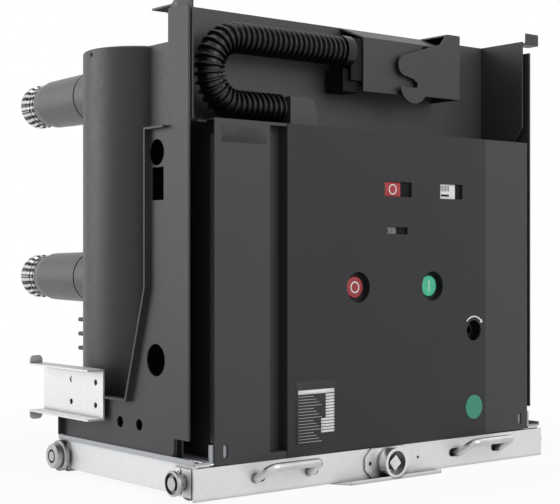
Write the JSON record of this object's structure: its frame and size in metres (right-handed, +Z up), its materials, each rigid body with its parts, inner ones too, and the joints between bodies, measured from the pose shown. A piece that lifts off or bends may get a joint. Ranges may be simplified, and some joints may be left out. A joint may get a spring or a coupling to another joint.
{
  "type": "substation circuit breaker",
  "caption": "Withdrawable indoor vacuum circuit breaker on a roller truck, with moulded poles, tulip contacts and a spring mechanism behind a flat front cover.",
  "frame": {"origin": "on the floor, at the middle of the footprint", "axes": "+X to the right along the front, +Y from the front cover towards the poles, +Z up"},
  "size_m": [0.708, 0.6414, 0.651],
  "materials": {
    "galvanised_sheet": "satin zinc-plated sheet",
    "zinc_hardware": "turned zinc-plated steel",
    "handle_steel": "drawn steel rod",
    "black_sheet": "matt black powder coat",
    "black_cover": "fine matt black powder coat",
    "panel_black": "matt black panel",
    "pole_grey": "moulded epoxy, dark grey",
    "arm_grey": "moulded insulating sleeve, grey",
    "silver_contact": "silver-plated copper",
    "conduit_black": "corrugated polyamide, black",
    "button_red": "red push button",
    "button_green": "green push button",
    "indicator": "printed indicator plate",
    "dark_steel": "blackened steel"
  },
  "bodies": {
    "breaker": {"truck_front_plate": "galvanised_sheet", "truck_cross_member": "galvanised_sheet", "truck_tongue_tray": "galvanised_sheet", "deck_tray": "galvanised_sheet", "racking_boss": "zinc_hardware", "truck_side_frame_left": "galvanised_sheet", "truck_side_frame_right": "galvanised_sheet", "side_plate_left": "black_sheet", "side_plate_right": "black_sheet", "shutter_rail_left": "galvanised_sheet", "shutter_rail_right": "galvanised_sheet", "bracket_plate_left": "black_sheet", "bracket_plate_right": "black_sheet", "back_panel": "black_sheet", "mechanism_housing": "black_sheet", "front_cover": "black_cover", "control_panel": "panel_black", "position_indicator": "indicator", "spring_indicator": "indicator", "operation_counter": "indicator", "charging_shaft": "dark_steel", "control_conduit": "conduit_black", "conduit_fitting": "conduit_black", "conduit_entry": "black_sheet", "stowed_plug": "conduit_black", "plug_hook_bracket": "black_sheet", "pole_left": "pole_grey", "contact_arms_left": "arm_grey", "tulip_contacts_left": "silver_contact", "pole_middle": "pole_grey", "contact_arms_middle": "arm_grey", "tulip_contacts_middle": "silver_contact", "pole_right": "pole_grey", "contact_arms_right": "arm_grey", "tulip_contacts_right": "silver_contact"},
    "front_roller_left": {"front_roller_left": "zinc_hardware"},
    "front_roller_right": {"front_roller_right": "zinc_hardware"},
    "rear_roller_left": {"rear_roller_left": "zinc_hardware"},
    "rear_roller_right": {"rear_roller_right": "zinc_hardware"},
    "handle_left": {"pull_handle_left": "handle_steel"},
    "handle_right": {"pull_handle_right": "handle_steel"},
    "o_button": {"o_button": "button_red"},
    "i_button": {"i_button": "button_green"},
    "racking_screw": {"racking_screw": "zinc_hardware"}
  },
  "joints": [
    {"name": "front_roller_left_turn", "type": "hinge", "parent": "breaker", "child": "front_roller_left", "pos_m": [-0.3095, -0.25825, 0.0235], "axis": [1, 0, 0], "continuous": true},
    {"name": "rear_roller_left_turn", "type": "hinge", "parent": "breaker", "child": "rear_roller_left", "pos_m": [-0.3095, 0.04175, 0.0235], "axis": [1, 0, 0], "continuous": true},
    {"name": "front_roller_right_turn", "type": "hinge", "parent": "breaker", "child": "front_roller_right", "pos_m": [0.3095, -0.25825, 0.0235], "axis": [1, 0, 0], "continuous": true},
    {"name": "rear_roller_right_turn", "type": "hinge", "parent": "breaker", "child": "rear_roller_right", "pos_m": [0.3095, 0.04175, 0.0235], "axis": [1, 0, 0], "continuous": true},
    {"name": "handle_left_pull", "type": "slide", "parent": "breaker", "child": "handle_left", "axis": [1, 0, 0], "range_m": [0, 0.011], "stiffness_N_per_m": 600, "springref_m": -0.006},
    {"name": "handle_right_pull", "type": "slide", "parent": "breaker", "child": "handle_right", "axis": [-1, 0, 0], "range_m": [0, 0.011], "stiffness_N_per_m": 600, "springref_m": -0.006},
    {"name": "o_button_press", "type": "slide", "parent": "breaker", "child": "o_button", "axis": [0, 1, 0], "range_m": [0, 0.004], "stiffness_N_per_m": 700, "springref_m": -0.002},
    {"name": "i_button_press", "type": "slide", "parent": "breaker", "child": "i_button", "axis": [0, 1, 0], "range_m": [0, 0.004], "stiffness_N_per_m": 700, "springref_m": -0.002},
    {"name": "racking_screw_turn", "type": "hinge", "parent": "breaker", "child": "racking_screw", "pos_m": [0, -0.28525, 0.0227], "axis": [0, 1, 0], "continuous": true}
  ]
}
